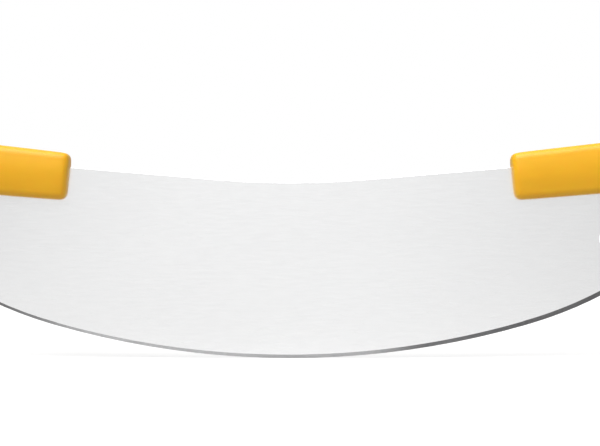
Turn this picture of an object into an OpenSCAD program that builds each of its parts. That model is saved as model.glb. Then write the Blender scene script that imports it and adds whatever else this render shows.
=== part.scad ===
// Rocking pizza knife: one stamped steel blade with a tang at each end,
// and a plastic handle moulded over each tang.
// The blade stands in the XZ plane on its cutting edge. X runs along the
// blade, Z is up, and the origin is the lowest point of the edge.

/* [Blade] */
// Length of the blade between its rounded ends
blade_l = 455; // [435:1:475]
// Height of the blade at its middle
blade_h = 110; // [100:1:118]
// Thickness of the steel sheet
blade_t = 2; // [1.5:0.1:3]
// Radius of the long middle arc of the cutting edge
edge_r = 534; // [500:1:600]
// Width of that middle arc, before the edge turns up more tightly
edge_span = 302; // [270:1:320]
// Radius of the tighter arcs on both sides of it
side_r = 250; // [230:1:290]
// Radius of the rounded ends, which are centred on the hanging hole
corner_r = 28.5; // [24:0.5:30]
// Radius of the hollow in the middle of the back
back_r = 570; // [400:10:700]
// Slope of the straight wings of the back, in degrees
wing_rise = 4.8; // [4:0.1:5.4]

/* [Cutting edge] */
// Width of the ground bevel
grind_w = 2.25; // [1.5:0.05:4]
// How much wider the bevel is where the edge turns up
turn_extra_w = 0.1; // [0.05:0.05:0.5]
// Thickness left at the very edge
edge_land = 0.2; // [0.1:0.05:0.4]
// Turn of the hand-held grind, in degrees, which makes it wider on one end
grind_skew = 0.08; // [0:0.01:0.12]

/* [Hanging hole] */
// Diameter of the hole that a hook goes through
hole_d = 12; // [6:0.5:16]

/* [Tangs] */
// Height of each tang where it leaves the blade
tang_root_h = 18; // [15:0.5:20]
// Height of each tang near its end
tang_tip_h = 13; // [11:0.5:15]
// Radius at the root of the tang
tang_root_r = 2.5; // [1:0.5:3.5]
// Diameter of the holes that the plastic runs through
anchor_d = 6; // [4:0.5:8]
// Number of those holes in each tang
anchor_n = 4; // [3:1:4]
// Distance from one of those holes to the next
anchor_pitch = 30; // [26:1:32]
// Plastic between the tang and the handle's inner and outer ends
tang_cover = 13; // [10:0.5:16]

/* [Handles] */
// Distance between the inner ends of the handles
handle_gap = 278; // [262:1:290]
// Length of each handle
handle_l = 150; // [146:1:162]
// Height of a handle at its inner end
handle_h = 29.6; // [28:0.2:34]
// Thickness of a handle at its middle
handle_t = 23; // [20:0.5:28]
// Depth of the handle's axis under the back, at its inner end
handle_drop = 6.1; // [4:0.1:7.5]
// Slope of the handles, in degrees
handle_rise = 5.6; // [4.8:0.1:6.4]
// Rounding along the handle's four long corners
handle_corner_r = 5; // [3:0.5:7]
// Rounding round the handle's inner end
inner_round = 4.2; // [2:0.2:6]
// Rounding round the handle's outer end
outer_round = 9; // [6:0.5:9.5]
// How far the middle of a cheek stands proud of its edges
cheek_crown = 1.2; // [0.4:0.1:2]
// How much the handle gains in height towards the grip
grip_swell = 3; // [0:0.2:4]
// How far the underside drops at the outer end, to stop the hand
hook_drop = 2.4; // [0:0.2:4]

/* [Hidden] */

steel = [0.86, 0.87, 0.88];
yellow = [0.95, 0.70, 0.17];
fine = 256; // steps in a full circle of the large arcs
round_fn = 64; // steps in the small holes and corners
far = 2 * edge_r; // well outside the outline

// Where two arcs meet, the tighter one lies this much inside the other.
seam = 0.02;

// The edge is a middle arc with a side arc on each hand. They turn the same way
// where they meet, so the side centre lies on the middle arc's radius.
edge_turn = asin(edge_span / 2 / edge_r);
side_x = (edge_r - seam - side_r) * sin(edge_turn);
side_z = edge_r - (edge_r - seam - side_r) * cos(edge_turn);
// Each rounded end runs along the side arc in the same way.
corner_x = blade_l / 2 - corner_r;
corner_z = side_z - sqrt(pow(side_r - seam - corner_r, 2) - pow(corner_x - side_x, 2));
side_turn = atan2(corner_x - side_x, side_z - corner_z);

// The back: an arc between two straight wings.
wing_x = back_r * sin(wing_rise);
wing_z = blade_h + back_r * (1 - cos(wing_rise)) - seam;
function back_z(x) = wing_z + (x - wing_x) * tan(wing_rise);

handle_x = handle_gap / 2;
handle_z = back_z(handle_x) - handle_drop;
tang_end_x = handle_x + (handle_l - tang_cover) * cos(handle_rise);
anchor_first_x = handle_x + tang_cover;

// Outline of the steel

// The part of a disc between two directions from its centre, which are
// measured from straight down towards +X.
module disc_slice(r, from, to) {
    intersection() {
        circle(r, $fn = fine);
        polygon([[0, 0], far * [sin(from), -cos(from)],
                 far * [sin((from + to) / 2), -cos((from + to) / 2)],
                 far * [sin(to), -cos(to)]]);
    }
}

// One hand of the sheet, before the back is cut. The slices overlap inside it.
module half_sheet() {
    overlap = 5; // degrees
    past_top = 190; // degrees, from straight down
    translate([0, edge_r]) disc_slice(edge_r, 0, edge_turn);
    translate([side_x, side_z]) disc_slice(side_r, edge_turn - overlap, side_turn);
    translate([corner_x, corner_z]) disc_slice(corner_r, side_turn - overlap, past_top);
    polygon([[0, edge_r], [0, blade_h / 2],
             [corner_x, corner_z - corner_r / 2], [corner_x, edge_r]]);
}

// The tang under the handle, with its rounded tip and root, before the back is cut.
module tang_outline() {
    tip_r = tang_tip_h / 2;
    tip_x = tang_end_x - tip_r;
    start_x = corner_x - tang_root_h;
    root_z = back_z(corner_x) - tang_root_h;
    slope = (back_z(tip_x) - tang_tip_h - root_z) / (tip_x - corner_x);
    polygon([[start_x, back_z(start_x) + tang_root_r],
             [start_x, root_z - tang_root_h * slope],
             [tip_x, back_z(tip_x) - tang_tip_h],
             [tip_x, back_z(tip_x) + tang_root_r]]);
    translate([tip_x, back_z(tip_x) - tip_r]) circle(tip_r, $fn = round_fn);
    difference() {
        translate([corner_x - tang_root_r, root_z - tang_root_r])
            square([2 * tang_root_r, tang_root_r * (1 + 2 * slope)]);
        translate([corner_x + tang_root_r - seam, root_z - tang_root_r])
            circle(tang_root_r, $fn = round_fn);
    }
}

// All above the back on one hand.
module above_back() {
    top = blade_h + back_r;
    translate([0, top]) disc_slice(back_r, 0, 2 * wing_rise);
    polygon([[0, top], [wing_x, wing_z], [blade_l, back_z(blade_l)], [blade_l, far], [0, far]]);
}

module blade_outline() {
    difference() {
        for (side = [0, 1]) mirror([side, 0]) difference() {
            union() {
                half_sheet();
                tang_outline();
            }
            above_back();
        }
        translate([corner_x, corner_z]) circle(d = hole_d, $fn = round_fn);
        for (side = [0, 1], i = [0 : anchor_n - 1]) mirror([side, 0]) {
            x = anchor_first_x + i * anchor_pitch;
            translate([x, back_z(x) - tang_tip_h / 2]) circle(d = anchor_d, $fn = round_fn);
        }
    }
}

module blade_sheet(t) {
    rotate([90, 0, 0]) linear_extrude(t, center = true) blade_outline();
}

// Ground edge

grind_over = blade_t / 2; // how far the cuts run on past the sheet

// What the grinder takes off one face along an arc of the edge, w wide. It stays
// on its own side of the middle of the sheet, out beyond the edge as well.
module ground_off(r, w, from, to) {
    slope = (blade_t - edge_land) / 2 / grind_w;
    rotate([90, 0, 0]) rotate([0, 0, from - 90]) rotate_extrude(angle = to - from, $fn = fine)
        polygon([[r - w - grind_over / slope, blade_t / 2 + grind_over],
                 [r - w + (blade_t / 2 - seam) / slope, seam],
                 [r + grind_over, seam],
                 [r + grind_over, blade_t / 2 + grind_over]]);
}

// The middle arc's grind runs on a little into those of the side arcs, which are deeper.
module ground_middle() {
    turn = edge_turn + 0.05;
    for (face = [0, 1]) mirror([0, face, 0])
        translate([0, 0, edge_r]) ground_off(edge_r, grind_w, -turn, turn);
}

// The side arcs' grind starts inside the middle arc. It runs on past the rounded
// ends, where it leaves the steel by itself.
module ground_sides() {
    for (face = [0, 1], side = [0, 1]) mirror([0, face, 0]) mirror([side, 0, 0])
        translate([side_x, 0, side_z])
            ground_off(side_r, grind_w + turn_extra_w, edge_turn - 1, side_turn + 6);
}

// The outline and its grind are turned together, within the flat sheet.
module blade() {
    color(steel) intersection() {
        rotate([0, 0, grind_skew]) difference() {
            difference() {
                blade_sheet(blade_t + grind_over);
                ground_middle();
            }
            ground_sides();
        }
        translate([-blade_l, -blade_t / 2, -1]) cube([2 * blade_l, blade_t, blade_l]);
    }
}

// Moulded handle

// A smooth line through [position, value] knots.
function knot_slope(k, i) =
    let (a = max(i - 1, 0), b = min(i + 1, len(k) - 1)) (k[b][1] - k[a][1]) / (k[b][0] - k[a][0]);
function knot_at(k, x, i = 0) = i >= len(k) - 2 || x <= k[i + 1][0] ? i : knot_at(k, x, i + 1);
function smooth(k, x) =
    let (i = knot_at(k, x), d = k[i + 1][0] - k[i][0], s = (x - k[i][0]) / d)
    k[i][1] * (1 + 2 * s) * pow(1 - s, 2) + k[i + 1][1] * s * s * (3 - 2 * s)
    + d * (knot_slope(k, i) * s * pow(1 - s, 2) - knot_slope(k, i + 1) * s * s * (1 - s));

// Height above and below the handle's axis, and half its thickness, at u.
function rise_at(u) = handle_h / 2 + smooth([[0, 0], [0.3 * handle_l, 0.27 * grip_swell],
    [0.6 * handle_l, 0.4 * grip_swell], [handle_l, -0.3 * grip_swell]], u);
function drop_at(u) = handle_h / 2 + smooth([[0, 0], [0.3 * handle_l, 0.27 * grip_swell],
    [0.5 * handle_l, 0.4 * grip_swell], [0.74 * handle_l, 0.1 * grip_swell],
    [0.93 * handle_l, hook_drop], [handle_l, hook_drop]], u);
function half_t_at(u) = handle_t / 2 - smooth([[0, 0.9], [0.4 * handle_l, 0], [0.75 * handle_l, 0.2],
    [handle_l, 0.8]], u);

// One ring of points round the handle at u, drawn in by inset.
corner_steps = 5;
cheek_steps = 4;
function corner_arc(y, z, r, from) = [for (i = [0 : corner_steps])
    let (a = from + 90 * i / corner_steps) [y + r * cos(a), z + r * sin(a)]];
function cheek(side, y, low, high) = [for (i = [1 : cheek_steps - 1])
    let (s = i / cheek_steps, z = side > 0 ? low + (high - low) * s : high + (low - high) * s)
    [side * (y + cheek_crown * 4 * s * (1 - s)), z]];
function ring(u, inset) =
    let (half = half_t_at(u) - cheek_crown - inset, top = rise_at(u) - inset, bottom = drop_at(u) - inset,
         r = min(handle_corner_r, 0.9 * half))
    [for (p = concat(
        corner_arc(half - r, top - r, r, 0), corner_arc(r - half, top - r, r, 90),
        cheek(-1, half, r - bottom, top - r),
        corner_arc(r - half, r - bottom, r, 180), corner_arc(half - r, r - bottom, r, 270),
        cheek(1, half, r - bottom, top - r))) [u, p[0], p[1]]];

// Stations along the handle: a rounded inner end, the body and a rounded butt.
end_steps = 5;
body_steps = 16;
rings = concat(
    [for (i = [0 : end_steps]) let (a = 90 * i / end_steps)
        ring(inner_round * (1 - cos(a)), inner_round * (1 - sin(a)))],
    [for (i = [1 : body_steps - 1])
        ring(inner_round + (handle_l - inner_round - outer_round) * i / body_steps, 0)],
    [for (i = [0 : end_steps + 2]) let (a = 90 * i / (end_steps + 2))
        ring(handle_l - outer_round * (1 - sin(a)), outer_round * (1 - cos(a)))]);

module handle_shell() {
    n = len(rings[0]);
    m = len(rings);
    walls = [for (i = [0 : m - 2], j = [0 : n - 1]) let (k = (j + 1) % n)
        each [[i * n + j, i * n + k, i * n + n + j], [i * n + k, i * n + n + k, i * n + n + j]]];
    polyhedron([for (one = rings) each one],
        concat(walls, [[for (j = [n - 1 : -1 : 0]) j], [for (j = [0 : n - 1]) (m - 1) * n + j]]));
}

// The plastic closes round the sheet and fills the anchor holes.
module handle(side) {
    color(yellow) difference() {
        mirror([side, 0, 0]) translate([handle_x, 0, handle_z]) rotate([0, -handle_rise, 0]) handle_shell();
        blade_sheet(blade_t);
    }
}

blade();
handle(0);  // right_handle
handle(1);  // left_handle
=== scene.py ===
"""The looks of a rocking pizza knife: a steel blade between two moulded handles."""

import math

import bpy
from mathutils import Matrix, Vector


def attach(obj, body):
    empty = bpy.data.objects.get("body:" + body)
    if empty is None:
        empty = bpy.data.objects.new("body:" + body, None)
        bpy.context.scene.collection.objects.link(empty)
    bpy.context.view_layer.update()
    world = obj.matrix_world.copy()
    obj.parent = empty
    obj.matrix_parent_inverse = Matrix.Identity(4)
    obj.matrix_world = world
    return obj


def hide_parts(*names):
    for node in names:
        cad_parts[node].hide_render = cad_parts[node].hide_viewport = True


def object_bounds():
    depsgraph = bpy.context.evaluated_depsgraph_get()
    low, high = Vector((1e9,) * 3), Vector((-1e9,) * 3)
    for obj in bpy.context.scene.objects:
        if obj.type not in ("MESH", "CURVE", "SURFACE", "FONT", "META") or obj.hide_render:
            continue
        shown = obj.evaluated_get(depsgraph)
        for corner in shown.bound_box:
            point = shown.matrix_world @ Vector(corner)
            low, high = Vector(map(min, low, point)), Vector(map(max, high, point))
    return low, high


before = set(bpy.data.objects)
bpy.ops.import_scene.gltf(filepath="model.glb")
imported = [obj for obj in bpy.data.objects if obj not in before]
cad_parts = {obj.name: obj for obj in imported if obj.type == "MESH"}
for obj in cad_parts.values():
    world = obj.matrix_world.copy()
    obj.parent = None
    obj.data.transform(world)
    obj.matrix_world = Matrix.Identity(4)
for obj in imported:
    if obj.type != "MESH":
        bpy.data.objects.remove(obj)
cad_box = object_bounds()


# Blade: one sheet of stainless steel, stamped to a crescent with a tang at each end.
# Its faces are brushed along the blade, and its stamped edges are deburred. A wheel
# grinds the lower edge from both faces, by hand and so not quite evenly. The bevel's
# grey is darkened towards the ends of the knife as painted shade.
def only(piece):
    """Leaves one piece selected and active, in object mode."""
    bpy.ops.object.select_all(action="DESELECT")
    piece.select_set(True)
    bpy.context.view_layer.objects.active = piece


def finish_with(piece, kind, **settings):
    """Adds a modifier to a piece and applies it."""
    only(piece)
    modifier = piece.modifiers.new(kind.title(), kind)
    for name, value in settings.items():
        setattr(modifier, name, value)
    bpy.ops.object.modifier_apply(modifier=modifier.name)


def choose(piece, kind, test):
    """Leaves a piece in edit mode, with only the points, edges or faces that pass selected."""
    only(piece)
    bpy.ops.object.mode_set(mode="EDIT")
    bpy.ops.mesh.select_mode(type=kind)
    bpy.ops.mesh.select_all(action="DESELECT")
    bpy.ops.object.mode_set(mode="OBJECT")
    mesh = piece.data
    for part in {"VERT": mesh.vertices, "EDGE": mesh.edges, "FACE": mesh.polygons}[kind]:
        part.select = test(part)
    bpy.ops.object.mode_set(mode="EDIT")


class Shade:
    """A socket of a material, which Python's operators turn into Math nodes."""

    def __init__(self, tree, socket=None):
        self.tree = tree
        self.socket = socket

    def node(self, kind, settings, sockets, output=0):
        """Adds a node, with its settings and the values or links of its sockets."""
        made = self.tree.nodes.new("ShaderNode" + kind)
        for name, value in settings.items():
            setattr(made, name, value)
        for name, value in sockets.items():
            if isinstance(value, Shade):
                self.tree.links.new(value.socket, made.inputs[name])
            else:
                made.inputs[name].default_value = value
        return Shade(self.tree, made.outputs[output])

    def math(self, operation, first, second):
        return self.node("Math", {"operation": operation}, {0: first, 1: second})

    def __add__(self, other):
        return self.math("ADD", self, other)

    __radd__ = __add__

    def __sub__(self, other):
        return self.math("SUBTRACT", self, other)

    def __rsub__(self, other):
        return self.math("SUBTRACT", other, self)

    def __mul__(self, other):
        return self.math("MULTIPLY", self, other)

    __rmul__ = __mul__

    def between(self, low, high):
        """0 at low and below, 1 at high and above, and smooth in between."""
        sockets = {"Value": self, "From Min": low, "From Max": high}
        return self.node("MapRange", {"interpolation_type": "SMOOTHSTEP"}, sockets)

    def full_range(self):
        """Noise, which keeps near its middle, spread out over 0 to 1."""
        return self.between(0.3, 0.7)

    def mix(self, first, second):
        """From the first colour to the second as this goes from 0 to 1."""
        sockets = {0: self, 6: first, 7: second}
        return self.node("Mix", {"data_type": "RGBA"}, sockets, output=2)

    def noise(self, stretch, detail=2.0):
        """Cloudy values from 0 to 1, whose blots are that long along X, Y and Z, in metres."""
        place = self.node("TexCoord", {}, {}, output="Object")
        scale = [1 / length for length in stretch]
        spread = self.node("Mapping", {}, {"Vector": place, "Scale": scale})
        return self.node("TexNoise", {}, {"Vector": spread, "Scale": 1.0, "Detail": detail})

    def along_x(self):
        """The place along the knife, in metres from the middle."""
        place = self.node("TexCoord", {}, {}, output="Object")
        return self.node("SeparateXYZ", {}, {0: place}, output="X")

    def bump(self, height, distance):
        """The surface's normal where height raises it by up to distance, in metres."""
        return self.node("Bump", {}, {"Height": height, "Distance": distance})


def material(name):
    """A new material, its Shade and its surface's shader."""
    made = bpy.data.materials.new(name)
    made.use_nodes = True
    return made, Shade(made.node_tree), made.node_tree.nodes["Principled BSDF"]


def dress(shader, **inputs):
    """Gives a shader's sockets their values or links."""
    for name, value in inputs.items():
        socket = shader.inputs[name.replace("_", " ").title().replace("Ior", "IOR")]
        if isinstance(value, Shade):
            value.tree.links.new(value.socket, socket)
        else:
            socket.default_value = value


def brushed_steel():
    """Satin faces: a pale grey, with a fine grain along the blade."""
    made, shade, shader = material("brushed_steel")
    hairs = shade.noise((0.012, 0.02, 0.00018), detail=3.0)
    streaks = shade.noise((0.012, 0.02, 0.0018), detail=2.0)
    rolled = shade.noise((0.09, 0.02, 0.05), detail=1.0)
    tone = (0.25 * hairs + 0.5 * streaks + 0.25 * rolled).full_range()
    dress(
        shader,
        base_color=tone.mix((0.95, 0.952, 0.955, 1), (0.985, 0.987, 0.99, 1)),
        metallic=1.0,
        roughness=0.22 + 0.08 * hairs,
        normal=shade.bump(hairs, 0.0000025),
    )
    return made


def ground_steel_and_painted_shade():
    """The bevel: a darker grey, scored across the edge by the wheel. Towards the left end,
    and more towards the right end with the hanging hole, the grey is darkened as painted
    shade."""
    made, shade, shader = material("ground_steel_and_painted_shade")
    score = shade.noise((0.0003, 0.02, 0.006), detail=3.0)
    cloud = shade.noise((0.012, 0.02, 0.02), detail=2.0)
    tone = (0.5 * score + 0.5 * cloud).full_range()
    # The first grey is the bevel's own; the second is the same grey darkened as painted shade.
    bright = tone.mix((0.48, 0.48, 0.485, 1), (0.56, 0.56, 0.565, 1))
    painted_shade_grey = tone.mix((0.14, 0.14, 0.143, 1), (0.18, 0.18, 0.183, 1))
    # Each step says how much painted shade darkens the bevel between two places along the
    # knife.
    place = shade.along_x()
    right = 0.12 * place.between(-0.05, 0.0) + 0.75 * place.between(0.045, 0.085)
    right = right + 0.13 * place.between(0.08, 0.14)
    left = 0.85 * (1 - place.between(-0.18, -0.12))
    dress(
        shader,
        # The painted shade is mixed in by place along the knife: near the left end, and from
        # the middle to the right end.
        base_color=(left + right).mix(bright, painted_shade_grey),
        metallic=1.0,
        roughness=0.34 + 0.1 * score,
        normal=shade.bump(score, 0.000006),
    )
    return made


def stamped_steel():
    """The stamped edges: a duller grey, torn across the sheet by the die."""
    made, shade, shader = material("stamped_steel")
    tears = shade.noise((0.0004, 0.004, 0.0004))
    cloud = shade.noise((0.006, 0.006, 0.006))
    tone = (0.5 * tears + 0.5 * cloud).full_range()
    dress(
        shader,
        base_color=tone.mix((0.52, 0.52, 0.525, 1), (0.62, 0.62, 0.625, 1)),
        metallic=1.0,
        roughness=0.45 + 0.1 * tears,
        normal=shade.bump(tears, 0.00001),
    )
    return made


# A copy of the solid, with its loose triangles joined and its slivers merged.
sliver = 0.00006
only(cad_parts["blade"])
bpy.ops.object.duplicate()
blade = bpy.context.object
blade.name = "blade_sheet"
blade.parent = None
bpy.ops.object.mode_set(mode="EDIT")
bpy.ops.mesh.select_all(action="SELECT")
bpy.ops.mesh.remove_doubles(threshold=sliver)
bpy.ops.object.mode_set(mode="OBJECT")
bpy.ops.mesh.customdata_custom_splitnormals_clear()

# A face's tilt is how far its normal points across the sheet: 1 on the flat faces, 0 on
# the stamped edges, and between the two on the grind, which ends below ground_top.
flat_tilt = 0.98
stamped_tilt = 0.8
ground_top = 0.045
blade.data.materials.clear()
# The second material is the bevel, which carries painted shade towards the knife's ends.
for made in (brushed_steel(), ground_steel_and_painted_shade(), stamped_steel()):
    blade.data.materials.append(made)
for face in blade.data.polygons:
    tilt = abs(face.normal.y)
    stamped = tilt < stamped_tilt and face.center.z > ground_top
    face.material_index = 0 if tilt > flat_tilt else 2 if stamped else 1

# Each flat face is made one piece again.
level_tilt = 0.9999
level_angle = math.radians(0.05)
choose(blade, "FACE", lambda face: abs(face.normal.y) > level_tilt)
bpy.ops.mesh.dissolve_limited(angle_limit=level_angle)
bpy.ops.object.mode_set(mode="OBJECT")

# The square edges that show are deburred. The ground edge is left as it is, and so is the
# rim of each tang, which lies past hidden_x and above hidden_z.
hidden_x = 0.145
hidden_z = 0.1045
deburred = 0.00018
square_tilt = 0.01
no_length = 0.000001
blade_crease = math.radians(18)
tilts = {}
for face in blade.data.polygons:
    for key in face.edge_keys:
        tilts.setdefault(key, []).append(abs(face.normal.y))


def is_square_rim(edge):
    """Whether a flat face and a stamped edge meet here, where neither grind nor plastic is."""
    ends = [blade.data.vertices[i].co for i in edge.vertices]
    square = min(tilts[edge.key]) < square_tilt and max(tilts[edge.key]) > level_tilt
    in_plastic = all(abs(end.x) > hidden_x and end.z > hidden_z for end in ends)
    return square and not in_plastic and min(end.z for end in ends) > ground_top


choose(blade, "EDGE", is_square_rim)
bpy.ops.mesh.bevel(
    offset=deburred, segments=2, affect="EDGES", clamp_overlap=False, material=0
)
bpy.ops.mesh.select_all(action="SELECT")
bpy.ops.mesh.remove_doubles(threshold=no_length)
bpy.ops.object.mode_set(mode="OBJECT")
bpy.ops.object.shade_smooth_by_angle(angle=blade_crease)
for face in blade.data.polygons:
    if abs(face.normal.y) > level_tilt:
        face.use_smooth = False

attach(blade, "root")
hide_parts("blade")


# Handles: two mouldings of yellow polypropylene, each shot round a tang in a mould that
# opens sideways, which leaves a fine ridge along the middle of the top and underside.
# The grip swells a little and drops at the butt, so that the hand doesn't slide off.
handle_length = 0.150
handle_height = 0.0296
handle_thickness = 0.023
handle_gap = 0.278
handle_slope = math.radians(5.6)
corner_round = 0.005
inner_round = 0.0042
butt_round = 0.009
cheek_crown = 0.0012
grip_swell = 0.003
butt_drop = 0.0024
ridge = 0.0001
ridge_foot = 3 * ridge
axis_height = 0.11357  # where the handle's axis starts, at its inner end
on_plane = 1e-6
handle_crease = math.radians(40)


def along(knots, share):
    """The smooth line through knots, each a share of the length and a value, at one share."""
    last = len(knots) - 1
    first = next((n for n in range(last) if share <= knots[n + 1][0]), last - 1)

    def slope(n):
        before = knots[max(n - 1, 0)]
        after = knots[min(n + 1, last)]
        return (after[1] - before[1]) / (after[0] - before[0])

    (start, low), (end, high) = knots[first], knots[first + 1]
    span = end - start
    s = (share - start) / span
    turns = slope(first) * s * (1 - s) ** 2 - slope(first + 1) * s * s * (1 - s)
    return low * (1 + 2 * s) * (1 - s) ** 2 + high * s * s * (3 - 2 * s) + span * turns


def stretch(piece, test, factors):
    """Scales the points whose place passes a test, about the origin."""
    choose(piece, "VERT", lambda point: test(point.co))
    bpy.ops.transform.resize(value=factors, center_override=(0, 0, 0))
    bpy.ops.object.mode_set(mode="OBJECT")


def cut_loop(piece, place, normal):
    """Cuts a loop of edges round a whole piece, in a plane."""
    choose(piece, "VERT", lambda point: True)
    bpy.ops.mesh.bisect(plane_co=place, plane_no=normal)
    bpy.ops.object.mode_set(mode="OBJECT")


def moulded_plastic():
    """Yellow polypropylene, with the fine satin texture of its mould."""
    made, shade, shader = material("moulded_plastic")
    texture = shade.noise((0.00035, 0.00035, 0.00035), detail=2.0)
    flow = shade.noise((0.030, 0.012, 0.008), detail=1.5)
    dress(
        shader,
        base_color=flow.full_range().mix((0.85, 0.435, 0.002, 1), (0.88, 0.46, 0.004, 1)),
        roughness=0.38 + 0.08 * texture,
        ior=1.49,
        subsurface_weight=0.4,
        subsurface_radius=(1.0, 0.35, 0.1),
        subsurface_scale=0.003,
        normal=shade.bump(texture, 0.000006),
    )
    return made


grip_section = handle_thickness - 2 * cheek_crown
bpy.ops.mesh.primitive_cube_add(
    size=1,
    location=(handle_length / 2, 0, 0),
    scale=(handle_length, grip_section, handle_height),
)
right_handle = bpy.context.object
right_handle.name = "right_grip"
bpy.ops.object.transform_apply(location=True, rotation=True, scale=True)


def is_long(edge):
    """Whether an edge of the block runs along the handle."""
    ends = [right_handle.data.vertices[i].co.x for i in edge.vertices]
    return abs(ends[0] - ends[1]) > handle_length / 2


# The four long corners are rounded first.
choose(right_handle, "EDGE", is_long)
bpy.ops.mesh.bevel(offset=corner_round, segments=4, affect="EDGES")
bpy.ops.object.mode_set(mode="OBJECT")

# The cheeks are crowned between the corners.
cheek = handle_height / 2 - corner_round
cheek_loops = (-cheek / 2, 0, cheek / 2)
for height in cheek_loops:
    cut_loop(right_handle, (0, 0, height), (0, 0, 1))
for height in cheek_loops:
    crown = cheek_crown * (1 - (height / cheek) ** 2)
    stretch(
        right_handle,
        lambda point, height=height: abs(point.z - height) < on_plane,
        (1, 1 + 2 * crown / grip_section, 1),
    )
# The mould's halves meet in the middle.
for side in (-ridge_foot, 0, ridge_foot):
    cut_loop(right_handle, (0, side, 0), (0, 1, 0))

# Loops across the handle: a rounded inner end, the grip and a rounded butt. Each has its
# place and how far it is drawn in.
inner_steps = 3
grip_steps = 12
butt_steps = 4
grip_end = handle_length - butt_round
loops = []
for i in range(inner_steps + 1):
    turn = i / inner_steps * math.pi / 2
    loops.append((inner_round * (1 - math.cos(turn)), inner_round * (1 - math.sin(turn))))
for i in range(1, grip_steps):
    loops.append((inner_round + (grip_end - inner_round) * i / grip_steps, 0))
for i in range(butt_steps + 1):
    turn = i / butt_steps * math.pi / 2
    place = handle_length - butt_round * (1 - math.sin(turn))
    loops.append((place, butt_round * (1 - math.cos(turn))))

# How far the top and the underside stand out and the cheeks are drawn in, at shares of the
# handle's length. The top is in parts of grip_swell, and the others are in metres.
top_knots = [(0, 0), (0.3, 0.27), (0.6, 0.4), (1, -0.3)]
under_knots = [
    (0, 0),
    (0.3, 0.27 * grip_swell),
    (0.5, 0.4 * grip_swell),
    (0.74, 0.1 * grip_swell),
    (0.93, butt_drop),
    (1, butt_drop),
]
cheek_knots = [(0, 0.0009), (0.4, 0), (0.75, 0.0002), (1, 0.0008)]


def shape_loop(place, test, factors):
    """Scales the points of one loop across the handle whose height passes a test."""
    stretch(
        right_handle,
        lambda point: abs(point.x - place) < on_plane and test(point.z),
        factors,
    )


for place, inset in loops:
    if 0 < place < handle_length:
        cut_loop(right_handle, (place, 0, 0), (1, 0, 0))
half_height = handle_height / 2
for place, inset in loops:
    share = place / handle_length
    top = along(top_knots, share) * grip_swell
    under = along(under_knots, share)
    width = 1 - 2 * (along(cheek_knots, share) + inset) / handle_thickness
    shape_loop(place, lambda z: z > 0, (1, width, (half_height + top - inset) / half_height))
    shape_loop(place, lambda z: z < 0, (1, width, (half_height + under - inset) / half_height))
    shape_loop(place, lambda z: z == 0, (1, width, 1))

# The ridge of the mould.
lift = 1 + 2 * ridge / handle_height
stretch(right_handle, lambda point: abs(point.y) < on_plane, (1, 1, lift))

finish_with(right_handle, "SUBSURF", levels=2, render_levels=2)
right_handle.rotation_euler = (0, -handle_slope, 0)
right_handle.location = (handle_gap / 2, 0, axis_height)
only(right_handle)
bpy.ops.object.transform_apply(location=True, rotation=True, scale=True)

bpy.ops.object.duplicate()
left_handle = bpy.context.object
left_handle.name = "left_grip"
left_handle.scale = (-1, 1, 1)
bpy.ops.object.transform_apply(location=True, rotation=True, scale=True)
bpy.ops.object.mode_set(mode="EDIT")
bpy.ops.mesh.select_all(action="SELECT")
bpy.ops.mesh.normals_make_consistent(inside=False)
bpy.ops.object.mode_set(mode="OBJECT")

plastic = moulded_plastic()
for handle, node in ((left_handle, "left_handle"), (right_handle, "right_handle")):
    finish_with(handle, "BOOLEAN", operation="DIFFERENCE", solver="EXACT", object=blade)
    handle.data.materials.clear()
    handle.data.materials.append(plastic)
    for face in handle.data.polygons:
        face.material_index = 0
    only(handle)
    bpy.ops.object.shade_smooth_by_angle(angle=handle_crease)
    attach(handle, "root")
    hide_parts(node)


# Room: a white floor under a white sky, with broad soft light from the upper left, and a
# camera level with the blade, at the photograph's place and width.
floor_size = 8.0
photo_width = 600  # pixels
photo_scale = 0.000627  # metres to a pixel
middle_x = 0.0059
middle_z = 0.0847
camera_distance = 1.1
sensor_width = 36

sky_level = 0.45
key_level = 1.1
key_direction = Vector((-0.3, -0.45, 0.84))
key_angle = math.radians(60)
floor_colour = 0.36
floor_glow = 0.7
floor_sheen = 0.36
floor_dimming = 0.12  # what the sheen loses towards the right
floor_fade = (0.05, 0.4)

# How much of the sky a reflection loses at each side, and from where to where it fades.
right_loss = 0.52
right_fade = (0.04, 0.29)
left_loss = 0.8
left_fade = (0.17, 0.24)


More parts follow.
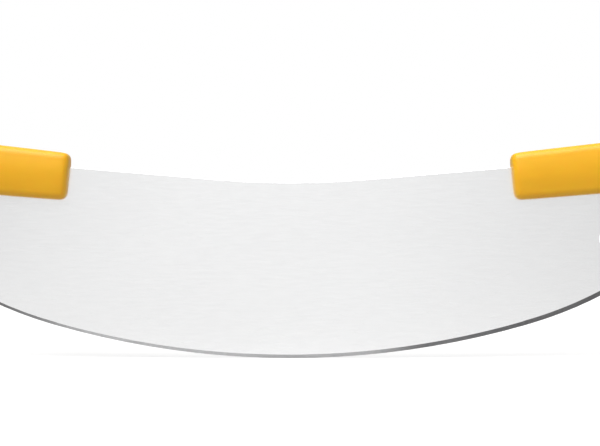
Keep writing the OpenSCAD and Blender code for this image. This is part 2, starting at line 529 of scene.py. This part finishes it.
def who_sees(shade):
    """Whether the camera or glass sees a surface, and whether a reflection does, as 0 or 1."""
    kinds = ("Is Camera Ray", "Is Transmission Ray", "Is Glossy Ray")
    seen, through, mirrored = [shade.node("LightPath", {}, {}, output=kind) for kind in kinds]
    return shade.math("MAXIMUM", seen, through), mirrored


bpy.ops.mesh.primitive_plane_add(size=floor_size, location=(0, 0, cad_box[0].z))
floor = bpy.context.object
floor.name = "floor"
painted, shade, shader = material("pale_floor")
shown, mirrored = who_sees(shade)
sheen = floor_sheen - floor_dimming * shade.along_x().between(*floor_fade)
glow = shown * floor_glow + mirrored * sheen
dress(
    shader,
    base_color=(floor_colour, floor_colour, floor_colour, 1),
    roughness=0.9,
    emission_color=glow.mix((0, 0, 0, 1), (1, 1, 1, 1)),
    emission_strength=1.0,
)
floor.data.materials.append(painted)

# The sky is white to the camera. What a reflection sees of it dims away from the middle,
# and more so on the left.
world = bpy.data.worlds.new("studio")
bpy.context.scene.world = world
world.use_nodes = True
sky = Shade(world.node_tree)
shown, mirrored = who_sees(sky)
direction = sky.node("TexCoord", {}, {}, output="Generated")
across = sky.node("SeparateXYZ", {}, {0: direction}, output="X")
right = right_loss * across.between(*right_fade)
left = left_loss * (0 - across).between(*left_fade)
panel = 1 - right - left
strength = sky.math("MAXIMUM", shown, sky_level * (1 - mirrored)) + mirrored * panel
background = world.node_tree.nodes["Background"]
background.inputs["Color"].default_value = (1, 1, 1, 1)
world.node_tree.links.new(strength.socket, background.inputs["Strength"])

key_data = bpy.data.lights.new("key", "SUN")
key_data.angle = key_angle
key_data.energy = key_level * math.pi
key = bpy.data.objects.new("key", key_data)
bpy.context.collection.objects.link(key)
key.rotation_euler = key_direction.to_track_quat("Z", "Y").to_euler()

camera_data = bpy.data.cameras.new("camera")
camera = bpy.data.objects.new("camera", camera_data)
bpy.context.collection.objects.link(camera)
camera.location = (middle_x, -camera_distance, middle_z)
camera.rotation_euler = (math.radians(90), 0, 0)
camera_data.sensor_width = sensor_width
camera_data.lens = sensor_width * camera_distance / (photo_width * photo_scale)
bpy.context.scene.camera = camera
bpy.context.scene.view_settings.view_transform = "Standard"
